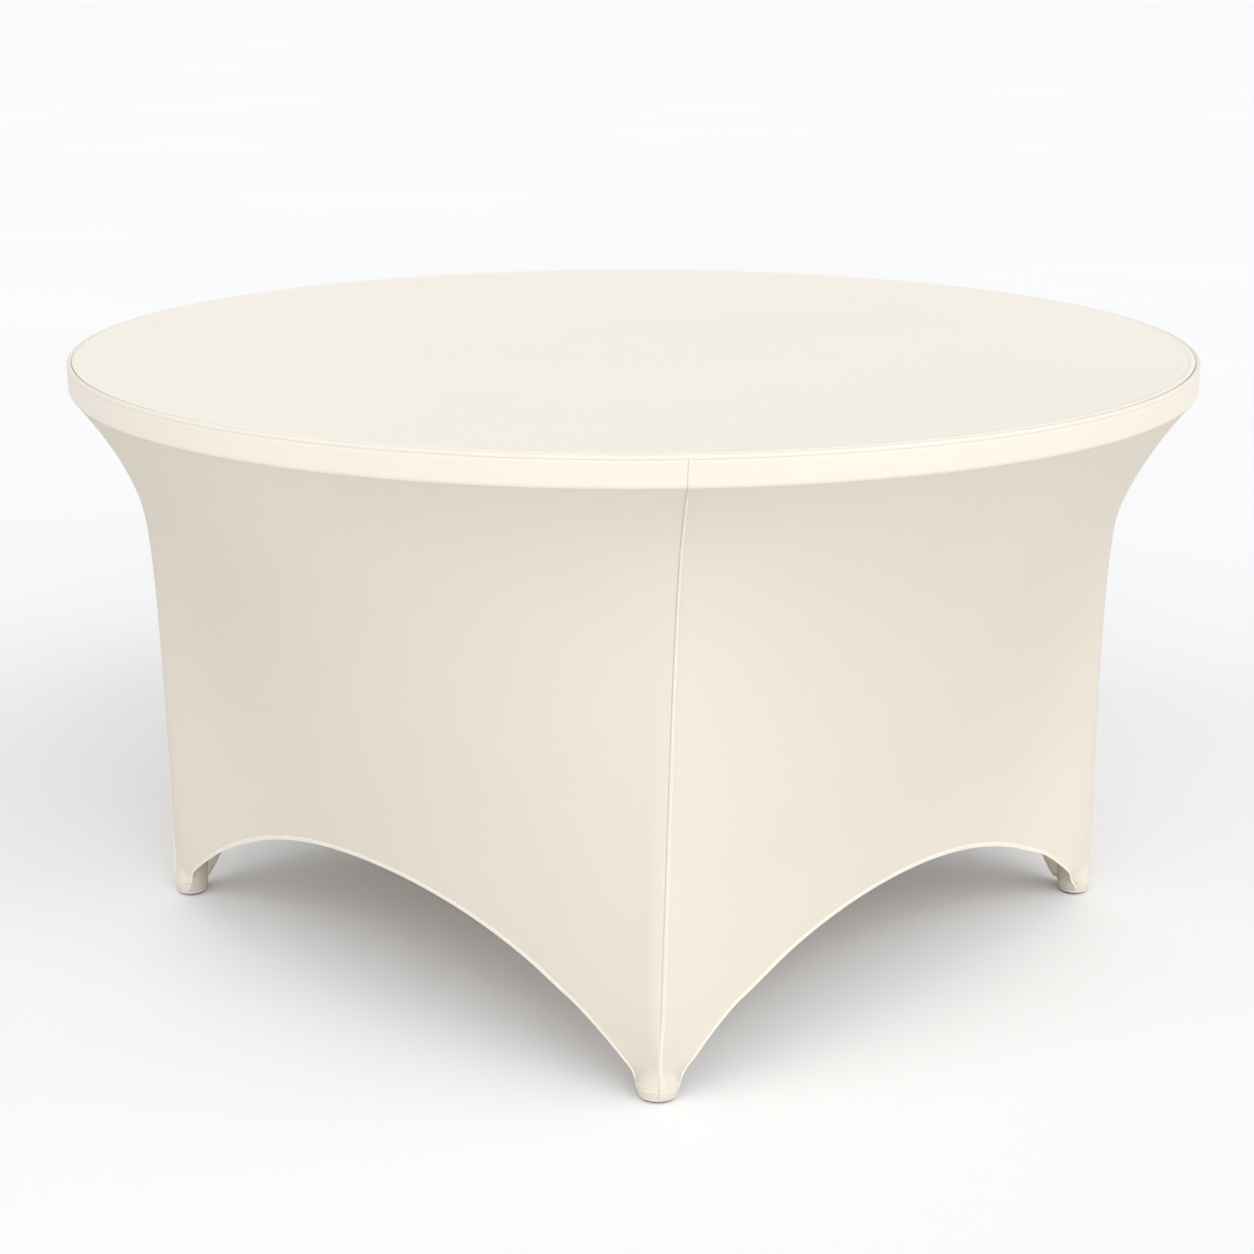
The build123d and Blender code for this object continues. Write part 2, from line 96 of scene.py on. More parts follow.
# the hem's height at a side's middle, its height at a corner, and how much higher it is to one side
HEM_RISE = {"front": 0.1715, "right": 0.1530, "back": 0.1715, "left": 0.1530}
HEM_AT_CORNER = {"front": 0.0040, "right": 0.0100, "back": 0.0040, "left": 0.0100}
HEM_LEAN = {"front": -0.0084, "right": 0.0084, "back": -0.0084, "left": 0.0084}
SIDES = {  # the azimuth of a side's middle, and half the angle that it spans
    "front": (-pi / 2, pi / 2 - LEG_AZIMUTH),
    "right": (0.0, LEG_AZIMUTH),
    "back": (pi / 2, pi / 2 - LEG_AZIMUTH),
    "left": (pi, LEG_AZIMUTH),
}
CORNERS = {  # azimuths
    "right_front": -LEG_AZIMUTH,
    "right_back": LEG_AZIMUTH,
    "left_back": pi - LEG_AZIMUTH,
    "left_front": LEG_AZIMUTH - pi,
}

# ---- cloth details, in metres. "away" is always an angle from a corner seam, in radians ----
CLOTH = 0.0012
LAYER_GAP = 0.0002  # left between two layers of cloth, and between the soles and the floor
RIM_TWIST = radians(1.8)  # the cover sits turned a little on the board, against its feet
BAND_TOP = TABLE_HEIGHT - 0.0080  # above this the rim band curves in under the piping
BAND_LIP_CURVE = 120  # how hard it curves, per metre

# the cloth round a foot, like a bowl
BOWL_DEPTH = 0.0212  # from the leg's axis outwards
BOWL_WIDTH = 0.0230  # from the leg's axis sideways
BOWL_SOLE = 0.0090  # how much smaller it is on the floor
BOWL_HEIGHT = 0.0170
BOWL_END_LOW = 0.021  # between these heights the bowl opens into two flat faces
BOWL_END_HIGH = 0.042
POCKET_AWAY = asin(BOWL_WIDTH / LEG_REACH)
POCKET_WAY_OUT = ((0.0, BOWL_WIDTH), (-0.013, 0.0240), (-0.045, 0.0740))  # from a foot's side into the panel
POCKET_WAY_LENGTH = 0.070
POCKET_HOLD_LOW = 0.030  # between these heights the foot lets go of the skirt
POCKET_HOLD_HIGH = 0.115
POCKET_WIDENS = 0.159  # angle from a seam at which the cloth above a foot has opened out
POCKET_CLOSENESS = 0.55  # how much tighter the cloth lies beside the seam than further out
FOOT_EDGE = 0.0049  # height of the skirt's edge at a foot

# the pocket's cup under a foot, with angles from the way the corner faces
CUP_TOP_OUTSIDE = 0.0190
CUP_TOP_SIDE = 0.0460
CUP_TOP_BEHIND = 0.0410
CUP_RISE_START = radians(92)  # where its upper edge starts to rise, and over what angle it does
CUP_RISE_WAY = radians(34)
CUP_SCOOP_START = radians(125)  # where that edge starts to dip again towards the back
CUP_SCOOP_WAY = radians(50)
CUP_BARE_START = radians(76)  # where the cup comes out from under the skirt
CUP_BARE_WAY = radians(20)
CUP_WELT = ((0.4, 0), (0.72, 0), (0.78, 0.0003), (0.94, 0.0005), (1.0, 0))  # share of the way up, relief
CUP_FLOOR_EDGE = 0.0050  # inside the cup
CUP_FLOOR_MIDDLE = 0.0024
CUP_REACH = 0.0030  # how far the cup's sides stretch out to meet the hems
CUP_REACH_AT = radians(118)
CUP_REACH_SPREAD = radians(24)
# below this height the cup is painted near-black: painted contact shade under a foot
SOLE_SHADE_TOP = 0.0029
SOLE_RECESS = 0.0022  # how far the sole stands back under the cup's rolled lower edge
SOLE_RECESS_TOP = 0.0020  # the recess ends between this height and one step above it
SOLE_RECESS_STEP = 0.0010
ROLL_HEIGHT = 0.0039
ROLL_SOFTNESS = 0.0009
ROLL_UNDER_SKIRT = 0.0026
ROLL_BARE = 0.0012
# up to this height the cup's rolled lower edge takes the lighter edge tone: a painted highlight
ROLL_HIGHLIGHT_TOP = 0.0050

# how the skirt keeps clear of a leg
LEG_CLEARANCE = 0.0155  # nearest that the cloth's outer face comes to a leg's axis
CAP_CLEARANCE = 0.0202  # the same beside the cap on its foot
CAP_CLEAR_HEIGHT = 0.030
LEG_CLEAR_HEIGHT = 0.055
CLEARANCE_SOFTNESS = 0.0022

# the hems: their extra drop beside the feet and how far it reaches, at a panel's low end and its high end
HEM_DIP = {
    "front": (0.0185, 0.0185),
    "right": (0.0250, 0.0250),
    "back": (0.0645, 0.0185),
    "left": (0.0250, 0.0515),
}
HEM_DIP_START = 0.070
HEM_DIP_END = {
    "front": (0.180, 0.180),
    "right": (0.180, 0.180),
    "back": (0.260, 0.180),
    "left": (0.180, 0.260),
}
HEM_END = 0.0350
HEM_END_RISE = 0.0055
HEM_WIDTH = 0.0056
HEM_PROUD = 0.0006
HEM_NARROWEST = 0.40  # the binding's width beside a foot, as a share of its full width
HEM_NARROW_WAY = 0.20

# the seams and their stitching
SEAM_GROOVE = 0.0010
SEAM_GROOVE_WIDTH = 0.0011
SEAM_GROOVE_LOW = 0.003  # the groove starts at this height and is at its deepest this far above it
SEAM_GROOVE_WAY = 0.009
SEAM_BAND_TOP = 0.0022  # width of the folded allowance at the rim and at the feet
SEAM_BAND_FOOT = 0.0056
SEAM_BAND_PROUD = 0.0009
SEAM_BAND_EDGE = 0.0012
SEAM_SWELL = 0.00025  # the cloth on the seam's other side swells this much
SEAM_SWELL_AT = 0.003
SEAM_SWELL_WIDTH = 0.002
POCKET_WELT_HEIGHTS = (0.0197, 0.0156)
POCKET_WELT = 0.0007
POCKET_WELT_WIDTH = 0.0009
THREAD = 0.00034  # a thread's radius
STITCH = 0.0022
STITCH_PITCH = 0.0031
STITCH_SIDES = 5
STITCH_ARCH = (-0.00012, 0.00016, 0.00016, -0.00012)  # how high the thread lies above the cloth
HEM_STITCH_HEIGHTS = (0.0046, 0.0012)
RIM_ROW_TOP = 0.690
INSIDE_BAND = 0.42  # where the two rows on a folded allowance lie, as shares of its width
BESIDE_BAND = 0.80


# ---- the cover as a surface ----

def smooth_step(share):
    share = min(max(share, 0.0), 1.0)
    return share * share * (3 - 2 * share)


def spot(azimuth, radius, z):
    return Vector((radius * cos(azimuth), radius * sin(azimuth), z))


def corner_profile(z):
    """Distance of a corner seam from the table's axis: it flares out to the rim."""
    drop = exp((z - TURN_END_HEIGHT) / CORNER_FLARE)
    drop_at_foot = exp((CORNER_FOOT_HEIGHT - TURN_END_HEIGHT) / CORNER_FLARE)
    share = (drop - drop_at_foot) / (1 - drop_at_foot)
    return CORNER_RADIUS + (TURN_END_RADIUS - CORNER_RADIUS) * share


def middle_profile(z):
    """Distance of a panel's middle line from the table's axis."""
    return TURN_END_RADIUS - MIDDLE_WAIST * (1 - exp((z - TURN_END_HEIGHT) / MIDDLE_FLARE))


def cover_radius(side, offset, z):
    """The free skirt, the turn under the rim, the straight rim band and its lip under the piping."""
    if z >= BAND_TOP:
        return RIM_RADIUS - BAND_LIP_CURVE * (z - BAND_TOP) ** 2
    if z >= COVER_TURN_HEIGHT:
        return RIM_RADIUS
    if z >= TURN_END_HEIGHT:
        return RIM_RADIUS - COVER_TURN + sqrt(COVER_TURN ** 2 - (COVER_TURN_HEIGHT - z) ** 2)
    half = SIDES[side][1]
    middle = middle_profile(z)
    sharpness = log(corner_profile(z) / middle) / -log(cos(half - CORNER_SOFTNESS))
    eased = half - sqrt((half - abs(offset)) ** 2 + CORNER_SOFTNESS ** 2)
    return middle * cos(eased) ** -sharpness


def twist(z):
    """How far the cloth is turned at a height, nothing at the feet."""
    return RIM_TWIST * max(z - CORNER_FOOT_HEIGHT, 0) / (TABLE_HEIGHT - CORNER_FOOT_HEIGHT)


def bowl_shrink(z):
    """The cloth round a foot curves in towards the floor like a bowl."""
    if z >= BOWL_HEIGHT:
        return 0.0
    return BOWL_SOLE * (1 - sqrt(1 - (1 - z / BOWL_HEIGHT) ** 2))


def round_foot(corner, around, z, inset=0.0):
    """A place on the bowl round a foot. around is the angle from the way the corner faces."""
    outwards = (BOWL_DEPTH - bowl_shrink(z) - inset) * cos(around)
    sideways = (BOWL_WIDTH - bowl_shrink(z) - inset) * sin(around)
    return spot(corner, LEG_REACH + outwards, z) + spot(corner + pi / 2, sideways, 0)


def pocket_spot(side, offset, z):
    """Where cloth that hugs a foot lies: round the pocket to its side, then swinging out into the panel."""
    middle, half = SIDES[side]
    end = 1 if offset > 0 else -1
    corner = middle + end * half
    away = half - abs(offset)
    if away <= POCKET_AWAY:
        return round_foot(corner, -end * away / POCKET_AWAY * pi / 2, z)
    share = (away - POCKET_AWAY) * LEG_REACH / POCKET_WAY_LENGTH
    start, bend, finish = POCKET_WAY_OUT
    if share < 1:
        weights = ((1 - share) ** 2, 2 * share * (1 - share), share ** 2)
    else:
        weights = (0.0, -2 * (share - 1), 1 + 2 * (share - 1))
    outwards, sideways = (sum(weight * point[k] for weight, point in zip(weights, (start, bend, finish)))
                          for k in range(2))
    sideways -= bowl_shrink(z) * max(1 - share, 0)
    return spot(corner, LEG_REACH + outwards, z) + spot(corner - end * pi / 2, sideways, 0)


def above_foot_spot(side, offset, z):
    """Where cloth just above a foot lies: two flat faces that meet in the corner seam."""
    middle, half = SIDES[side]
    end = 1 if offset > 0 else -1
    corner = middle + end * half
    reached = (half - abs(offset)) / POCKET_WIDENS
    share = reached * (POCKET_CLOSENESS + (1 - POCKET_CLOSENESS) * reached)
    outwards = BOWL_DEPTH + (POCKET_WAY_OUT[2][0] - BOWL_DEPTH) * share
    sideways = POCKET_WAY_OUT[2][1] * share
    return spot(corner, LEG_REACH + outwards, z) + spot(corner - end * pi / 2, sideways, 0)


def clear_of_leg(side, offset, place):
    """Keeps the skirt outside the leg in its corner: cloth that would cut through the tube goes round it."""
    middle, half = SIDES[side]
    leg = spot(middle + (half if offset > 0 else -half), LEG_REACH, place.z)
    from_leg = place - leg
    cap_share = 1 - smooth_step((place.z - CAP_CLEAR_HEIGHT) / (LEG_CLEAR_HEIGHT - CAP_CLEAR_HEIGHT))
    nearest = LEG_CLEARANCE + (CAP_CLEARANCE - LEG_CLEARANCE) * cap_share
    spare = (from_leg.length - nearest) / CLEARANCE_SOFTNESS
    if spare > 8:
        return place
    return leg + from_leg.normalized() * (nearest + CLEARANCE_SOFTNESS * log(1 + exp(spare)))


def free_face(side, offset, z):
    """The cloth's outer face, without the relief of its seams."""
    skirt = spot(SIDES[side][0] + offset + twist(z), cover_radius(side, offset, z), z)
    if z < TURN_END_HEIGHT:
        skirt = clear_of_leg(side, offset, skirt)
    if z >= POCKET_HOLD_HIGH:
        return skirt
    hold = 1 - smooth_step((z - POCKET_HOLD_LOW) / (POCKET_HOLD_HIGH - POCKET_HOLD_LOW))
    opened = smooth_step((z - BOWL_END_LOW) / (BOWL_END_HIGH - BOWL_END_LOW))
    held = pocket_spot(side, offset, z).lerp(above_foot_spot(side, offset, z), opened)
    return skirt.lerp(held, hold)


def face_normal(side, offset, z):
    turn = 0.0004
    lift = 0.0002
    along = free_face(side, offset + turn, z) - free_face(side, offset - turn, z)
    up = free_face(side, offset, z + lift) - free_face(side, offset, z - lift)
    return along.cross(up).normalized()


def band_width(z):
    """How wide the allowance folded under a panel's edge shows."""
    return SEAM_BAND_TOP + (SEAM_BAND_FOOT - SEAM_BAND_TOP) * (1 - z / TABLE_HEIGHT)


def seam_relief(side, offset, z):
    """How far the cloth stands out beside a corner seam: a groove, and the allowance folded to one side."""
    half = SIDES[side][1]
    beside = (half - abs(offset)) * cover_radius(side, offset, z)
    off_floor = smooth_step((z - SEAM_GROOVE_LOW) / SEAM_GROOVE_WAY)
    groove = -SEAM_GROOVE * exp(-beside / SEAM_GROOVE_WIDTH) * off_floor
    if offset > 0:
        return groove + SEAM_SWELL * exp(-((beside - SEAM_SWELL_AT) / SEAM_SWELL_WIDTH) ** 2)
    return groove + SEAM_BAND_PROUD * (1 - smooth_step((beside - band_width(z)) / SEAM_BAND_EDGE))


def pocket_relief(z):
    """Two fine welts run round a foot where the pocket is sewn on."""
    return sum(POCKET_WELT * exp(-((z - row) / POCKET_WELT_WIDTH) ** 2) for row in POCKET_WELT_HEIGHTS)


def cover_spot(side, offset, z, depth=0.0):
    """A point of the cover: depth is measured in from the outer face."""
    relief = seam_relief(side, offset, z) + pocket_relief(z)
    return free_face(side, offset, z) + face_normal(side, offset, z) * (relief - depth)


def hem_height(side, offset):
    """The panel's lower edge: a leaning parabola between two feet, drawn down towards each foot's side."""
    half = SIDES[side][1]
    share = (tan(abs(offset)) / tan(half)) ** 2
    arch = HEM_RISE[side] - (HEM_RISE[side] - HEM_AT_CORNER[side]) * share
    arch += HEM_LEAN[side] * offset * (1 - share)
    away = half - abs(offset)
    at_high_end = offset > 0
    dip_way = HEM_DIP_END[side][at_high_end] - HEM_DIP_START
    arch -= HEM_DIP[side][at_high_end] * (1 - smooth_step((away - HEM_DIP_START) / dip_way))
    rise = smooth_step((away - HEM_END) / HEM_END_RISE)
    return FOOT_EDGE + max(arch - FOOT_EDGE, 0) * rise


# ---- mesh helpers ----

def add_piece(name, points, faces, material, sharp=50):
    mesh = bpy.data.meshes.new(name)
    mesh.from_pydata(points, [], faces)
    mesh.validate()
    work = bmesh.new()
    work.from_mesh(mesh)
    bmesh.ops.remove_doubles(work, verts=work.verts, dist=1e-6)
    bmesh.ops.recalc_face_normals(work, faces=work.faces)
    work.to_mesh(mesh)
    work.free()
    mesh.shade_smooth()
    mesh.set_sharp_from_angle(angle=radians(sharp))
    mesh.materials.append(material)
    piece = bpy.data.objects.new(name, mesh)
    bpy.context.scene.collection.objects.link(piece)
    return piece


def sweep(name, sections, material, round_trip=False, sharp=50):
    """Joins closed sections, each the same number of points, one after another. Open ends are closed."""
    count = len(sections[0])
    points = [point for section in sections for point in section]
    faces = []
    spans = len(sections) if round_trip else len(sections) - 1
    for span in range(spans):
        this = span * count
        following = (span + 1) % len(sections) * count
        for k in range(count):
            after = (k + 1) % count
            faces.append((this + k, this + after, following + after, following + k))
    if not round_trip:
        last = (len(sections) - 1) * count
        for start in (0, last):
            for k in range(count // 2 - 1):
                faces.append((start + k, start + k + 1, start + count - 2 - k, start + count - 1 - k))
    return add_piece(name, points, faces, material, sharp)


def growing_steps(first, growth, largest, total):
    """Distances from 0 to total whose gaps start at first and grow."""
    values = [0.0]
    gap = first
    while values[-1] < total:
        values.append(values[-1] + gap)
        gap = min(gap * growth, largest)
    stretch = total / values[-1]
    return [value * stretch for value in values]


# ---- materials ----

def maths(tree, operation, first, second=None):
    made = tree.nodes.new("ShaderNodeMath")
    made.operation = operation
    for socket, value in zip(made.inputs, (first, second)):
        if value is None:
            continue
        if isinstance(value, (int, float)):
            socket.default_value = value
        else:
            tree.links.new(value, socket)
    return made.outputs[0]


def start_material(name):
    material = bpy.data.materials.new(name)
    material.use_nodes = True
    tree = material.node_tree
    shader = tree.nodes["Principled BSDF"]
    place = tree.nodes.new("ShaderNodeTexCoord").outputs["Object"]
    return material, tree, shader, place


def noise_value(tree, place, scale, detail=2.0):
    made = tree.nodes.new("ShaderNodeTexNoise")
    made.inputs["Scale"].default_value = scale
    made.inputs["Detail"].default_value = detail
    tree.links.new(place, made.inputs["Vector"])
    return made.outputs["Fac"]


def two_tones(tree, share, low_tone, high_tone, low=0.35, high=0.65):
    ramp = tree.nodes.new("ShaderNodeValToRGB")
    ramp.color_ramp.elements[0].position = low
    ramp.color_ramp.elements[0].color = (*low_tone, 1)
    ramp.color_ramp.elements[1].position = high
    ramp.color_ramp.elements[1].color = (*high_tone, 1)
    tree.links.new(share, ramp.inputs["Fac"])
    return ramp.outputs["Color"]


def add_bump(tree, shader, height, distance, strength):
    bump = tree.nodes.new("ShaderNodeBump")
    bump.inputs["Distance"].default_value = distance
    bump.inputs["Strength"].default_value = strength
    tree.links.new(height, bump.inputs["Height"])
    tree.links.new(bump.outputs["Normal"], shader.inputs["Normal"])


def knit_height(tree, place, flat):
    """The relief of a fine jersey knit: columns of small V-shaped loops."""
    wale = 0.0011
    course = 0.0009
    parts = tree.nodes.new("ShaderNodeSeparateXYZ")
    tree.links.new(place, parts.inputs[0])
    x, y, z = parts.outputs
    if flat:
        across, along = x, y
    else:
        across = maths(tree, "MULTIPLY", maths(tree, "ARCTAN2", y, x), RIM_RADIUS)
        along = z
    column = maths(tree, "FRACT", maths(tree, "DIVIDE", across, wale))
    from_middle = maths(tree, "ABSOLUTE", maths(tree, "SUBTRACT", column, 0.5))
    lean = maths(tree, "ADD", maths(tree, "DIVIDE", along, course), from_middle)
    loop = maths(tree, "SINE", maths(tree, "MULTIPLY", lean, 2 * pi))
    crown = maths(tree, "COSINE", maths(tree, "MULTIPLY", from_middle, pi))
    return maths(tree, "MULTIPLY", maths(tree, "MULTIPLY_ADD", loop, 0.35), crown)


def knit_material(name, low_tone, high_tone, through, flat=False):
    """Stretch knit: two close tones, loops in relief, a soft sheen, and some light passing through."""
    material, tree, shader, place = start_material(name)
    loops = knit_height(tree, place, flat)
    drift = noise_value(tree, place, 2.2, 3.0)
    fuzz = noise_value(tree, place, 900.0, 1.0)
    tone = maths(tree, "ADD", maths(tree, "MULTIPLY", drift, 0.8), maths(tree, "MULTIPLY", fuzz, 0.2))
    colour = two_tones(tree, tone, low_tone, high_tone)
    tree.links.new(colour, shader.inputs["Base Color"])
    shader.inputs["Roughness"].default_value = 0.82
    shader.inputs["Sheen Weight"].default_value = 0.12
    shader.inputs["Sheen Roughness"].default_value = 0.45
    shader.inputs["Specular IOR Level"].default_value = 0.25
    height = maths(tree, "ADD", loops, maths(tree, "MULTIPLY", fuzz, 0.5))
    add_bump(tree, shader, height, 0.00012, 0.35)
    if through > 0:
        behind = tree.nodes.new("ShaderNodeBsdfTranslucent")
        tree.links.new(colour, behind.inputs["Color"])
        mixed = tree.nodes.new("ShaderNodeMixShader")
        mixed.inputs["Fac"].default_value = through
        tree.links.new(shader.outputs[0], mixed.inputs[1])
        tree.links.new(behind.outputs[0], mixed.inputs[2])
        tree.links.new(mixed.outputs[0], tree.nodes["Material Output"].inputs["Surface"])
    return material


def thread_material():
    material, tree, shader, place = start_material("sewing_thread")
    colour = two_tones(tree, noise_value(tree, place, 700.0), (0.88, 0.85, 0.79), (0.94, 0.91, 0.86))
    tree.links.new(colour, shader.inputs["Base Color"])
    shader.inputs["Roughness"].default_value = 0.55
    add_bump(tree, shader, noise_value(tree, place, 2500.0), 0.0001, 0.4)
    return material


def board_material():
    """Blow-moulded plastic: off-white with faint speckles and a pebbled grain."""
    material, tree, shader, place = start_material("pebbled_plastic")
    speckle = noise_value(tree, place, 260.0, 3.0)
    colour = two_tones(tree, speckle, (0.56, 0.55, 0.52), (0.70, 0.69, 0.66), 0.38, 0.50)
    tree.links.new(colour, shader.inputs["Base Color"])
    shader.inputs["Roughness"].default_value = 0.52
    cells = tree.nodes.new("ShaderNodeTexVoronoi")
    cells.inputs["Scale"].default_value = 420.0
    tree.links.new(place, cells.inputs["Vector"])
    add_bump(tree, shader, cells.outputs["Distance"], 0.0004, 0.35)
    return material


def paint_material():
    """Hammered grey powder coat."""
    material, tree, shader, place = start_material("hammered_paint")
    colour = two_tones(tree, noise_value(tree, place, 90.0, 3.0), (0.25, 0.26, 0.27), (0.36, 0.37, 0.38))
    tree.links.new(colour, shader.inputs["Base Color"])
    shader.inputs["Roughness"].default_value = 0.42
    shader.inputs["Metallic"].default_value = 0.25
    cells = tree.nodes.new("ShaderNodeTexVoronoi")
    cells.feature = "SMOOTH_F1"
    cells.inputs["Scale"].default_value = 230.0
    tree.links.new(place, cells.inputs["Vector"])
    add_bump(tree, shader, cells.outputs["Distance"], 0.0006, 0.4)
    return material


def zinc_material():
    """Zinc-plated steel, rolled along its length, with a few dull patches."""
    material, tree, shader, place = start_material("zinc_plate")
    stretched = tree.nodes.new("ShaderNodeMapping")
    stretched.inputs["Scale"].default_value = (1.0, 1.0, 14.0)
    tree.links.new(place, stretched.inputs["Vector"])
    grain = noise_value(tree, stretched.outputs[0], 120.0, 4.0)
    patches = noise_value(tree, place, 35.0, 2.0)
    colour = two_tones(tree, patches, (0.50, 0.51, 0.53), (0.66, 0.67, 0.69))
    tree.links.new(colour, shader.inputs["Base Color"])
    shader.inputs["Metallic"].default_value = 0.95
    rough = tree.nodes.new("ShaderNodeMapRange")
    rough.inputs["To Min"].default_value = 0.28
    rough.inputs["To Max"].default_value = 0.5
    tree.links.new(patches, rough.inputs["Value"])
    tree.links.new(rough.outputs[0], shader.inputs["Roughness"])
    add_bump(tree, shader, grain, 0.0001, 0.3)
    return material


def rubber_material():
    material, tree, shader, place = start_material("foot_rubber")
    colour = two_tones(tree, noise_value(tree, place, 150.0), (0.34, 0.31, 0.27), (0.39, 0.36, 0.32))
    tree.links.new(colour, shader.inputs["Base Color"])
    shader.inputs["Roughness"].default_value = 0.78
    add_bump(tree, shader, noise_value(tree, place, 1200.0), 0.0002, 0.3)
    return material


def sole_shade_material():
    """The near-black bottom of a foot pocket: painted shade for the dark contact line under a foot."""
    material, tree, shader, place = start_material("pocket_sole_painted_shade")
    colour = two_tones(tree, noise_value(tree, place, 400.0), (0.045, 0.040, 0.035), (0.070, 0.062, 0.054))
    tree.links.new(colour, shader.inputs["Base Color"])
    shader.inputs["Roughness"].default_value = 0.9
    add_bump(tree, shader, noise_value(tree, place, 1500.0), 0.0002, 0.4)
    return material


def floor_material():
    material, tree, shader, place = start_material("studio_floor")
    colour = two_tones(tree, noise_value(tree, place, 0.6), (0.866, 0.870, 0.882), (0.886, 0.890, 0.902))
    tree.links.new(colour, shader.inputs["Base Color"])
    shader.inputs["Roughness"].default_value = 0.9
    shader.inputs["Specular IOR Level"].default_value = 0.1
    return material


# the same ivory knit in copies whose tones are set apart by how brightly each face is lit, so they are
# painted light and shade. The rim's copy is darker than the top's as painted shade.
SKIRT_KNIT = knit_material("skirt_knit", (0.884, 0.832, 0.744), (0.908, 0.858, 0.771), 0.36)
RIM_KNIT_SHADED = knit_material("rim_knit_painted_shade", (0.738, 0.680, 0.602), (0.763, 0.705, 0.627), 0.0)
TOP_KNIT = knit_material("top_knit", (0.806, 0.762, 0.684), (0.828, 0.785, 0.706), 0.0, True)
EDGE_KNIT = knit_material("edge_knit", (0.772, 0.722, 0.642), (0.796, 0.748, 0.668), 0.05)
# the pocket's copy is much darker: painted shade on the cup round a foot
SHADED_POCKET_KNIT = knit_material("pocket_knit_painted_shade", (0.585, 0.530, 0.450), (0.615, 0.560, 0.480), 0.05)
SOLE_SHADE_MATERIAL = sole_shade_material()
TABLE_MATERIALS = {
    "moulded_board": board_material(),
    "painted_steel": paint_material(),
    "zinc_steel": zinc_material(),
    "foot_rubber": rubber_material(),
}
THREAD_MATERIAL = thread_material()


# ---- camera, lights and floor ----

def make_camera():
    distance = 2.883
    height = 1.1955
    azimuth = radians(-46.5)
    pitch = radians(16.1)
    heading = azimuth + pi + radians(0.155)  # it looks a little past the table's axis
    data = bpy.data.cameras.new("camera")
    data.lens = 66.98
    data.sensor_width = 36.0
    data.clip_end = 400.0
    camera = bpy.data.objects.new("camera", data)
    camera.location = spot(azimuth, distance, height)
    forward = spot(heading, cos(pitch), -sin(pitch))
    camera.rotation_mode = "QUATERNION"
    camera.rotation_quaternion = forward.to_track_quat("-Z", "Y")
    bpy.context.scene.collection.objects.link(camera)
    bpy.context.scene.camera = camera


def make_sun(name, azimuth, elevation, strength, spread):
    """Soft light from a direction. Azimuth is measured like the table's own."""
    data = bpy.data.lights.new(name, "SUN")
    data.energy = strength
    data.angle = radians(spread)
    lamp = bpy.data.objects.new(name, data)
    towards = spot(radians(azimuth), cos(radians(elevation)), sin(radians(elevation)))
    lamp.rotation_mode = "QUATERNION"
    lamp.rotation_quaternion = towards.to_track_quat("Z", "Y")
    bpy.context.scene.collection.objects.link(lamp)


SOFT_LIGHTS = {-100: 0.62, -46: 0.81, -10: 1.06, 40: 0.46, 150: 0.20}  # strength by azimuth in degrees
LIGHT_ELEVATION = 30
LIGHT_SPREAD = 50


def make_studio():
    world = bpy.data.worlds.new("studio")
    world.use_nodes = True
    background = world.node_tree.nodes["Background"]
    background.inputs["Color"].default_value = (1.0, 1.0, 1.0, 1)
    background.inputs["Strength"].default_value = 0.60
    bpy.context.scene.world = world
    for azimuth, strength in SOFT_LIGHTS.items():
        make_sun(f"soft_light_{azimuth % 360}", azimuth, LIGHT_ELEVATION, strength, LIGHT_SPREAD)
    bpy.context.scene.view_settings.view_transform = "Standard"
    floor_size = 160.0
    low = cad_low.z - LAYER_GAP
    corners = [(x * floor_size, y * floor_size, low) for x, y in ((-1, -1), (1, -1), (1, 1), (-1, 1))]
    floor = add_piece("floor", corners, [(0, 1, 2, 3)], floor_material())


make_camera()
make_studio()


# ---- baking pieces in place ----


def bends_with(piece):
    """Bakes the piece's placement into its mesh. The cloth is held by the rim above and by a folding leg
    frame's feet below, but nothing here makes it bend with them.
    """
    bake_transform(piece)


# ---- the skirt ----

CORNER_STEPS = [0, 0.0003, 0.0006, 0.0010, 0.0015, 0.0022, 0.0030, 0.0038, 0.0046, 0.0054, 0.0062,
                0.0070, 0.0080, 0.0095, 0.0110, 0.0125, 0.0140, 0.0155, 0.0170, 0.0185, 0.0200]


def corner_aways(side):
    """Angles from a corner seam towards a panel's middle: close beside the seam and the hem's drop."""
    beside_seam = [step / CORNER_RADIUS for step in CORNER_STEPS]
    beside_end = [HEM_END + HEM_END_RISE * k / 10 for k in range(11)]
    total = max(HEM_DIP_END[side]) - beside_end[-1]
    beside_foot = growing_steps(first=0.0007, growth=1.15, largest=0.010, total=total)
    return beside_seam + beside_end + [beside_end[-1] + step for step in beside_foot[1:]]


def panel_offsets(side, low_end, high_end):
    """Offsets from a panel's middle line, fine at each end that is a corner seam."""
    half = SIDES[side][1]
    near = corner_aways(side)
    rest = growing_steps(first=0.011, growth=1.18, largest=0.026, total=half - near[-1])
    out = [half - away for away in near] + [half - near[-1] - step for step in rest[1:]]
    out[-1] = 0.0
    upper = sorted(out) if high_end else [0.0]
    lower = sorted(-value for value in out) if low_end else [0.0]
    if high_end and low_end:
        return lower[:-1] + upper
    return upper if high_end else lower


def height_shares():
    """Shares of the way up a panel, fine beside its lower edge."""
    even_rows = 23
    row = 0.0011
    total = TURN_END_HEIGHT - FOOT_EDGE
    low = [row * k for k in range(even_rows)]
    rest = growing_steps(first=row, growth=1.15, largest=0.018, total=total - low[-1])
    return [value / total for value in low + [low[-1] + step for step in rest[1:]]]


HEIGHT_SHARES = height_shares()
TURN_STEPS = 7
BAND_HEIGHTS = [TABLE_HEIGHT - drop for drop in (0.025, 0.019, 0.013, 0.008, 0.0072, 0.0064, 0.0058, 0.0053)]


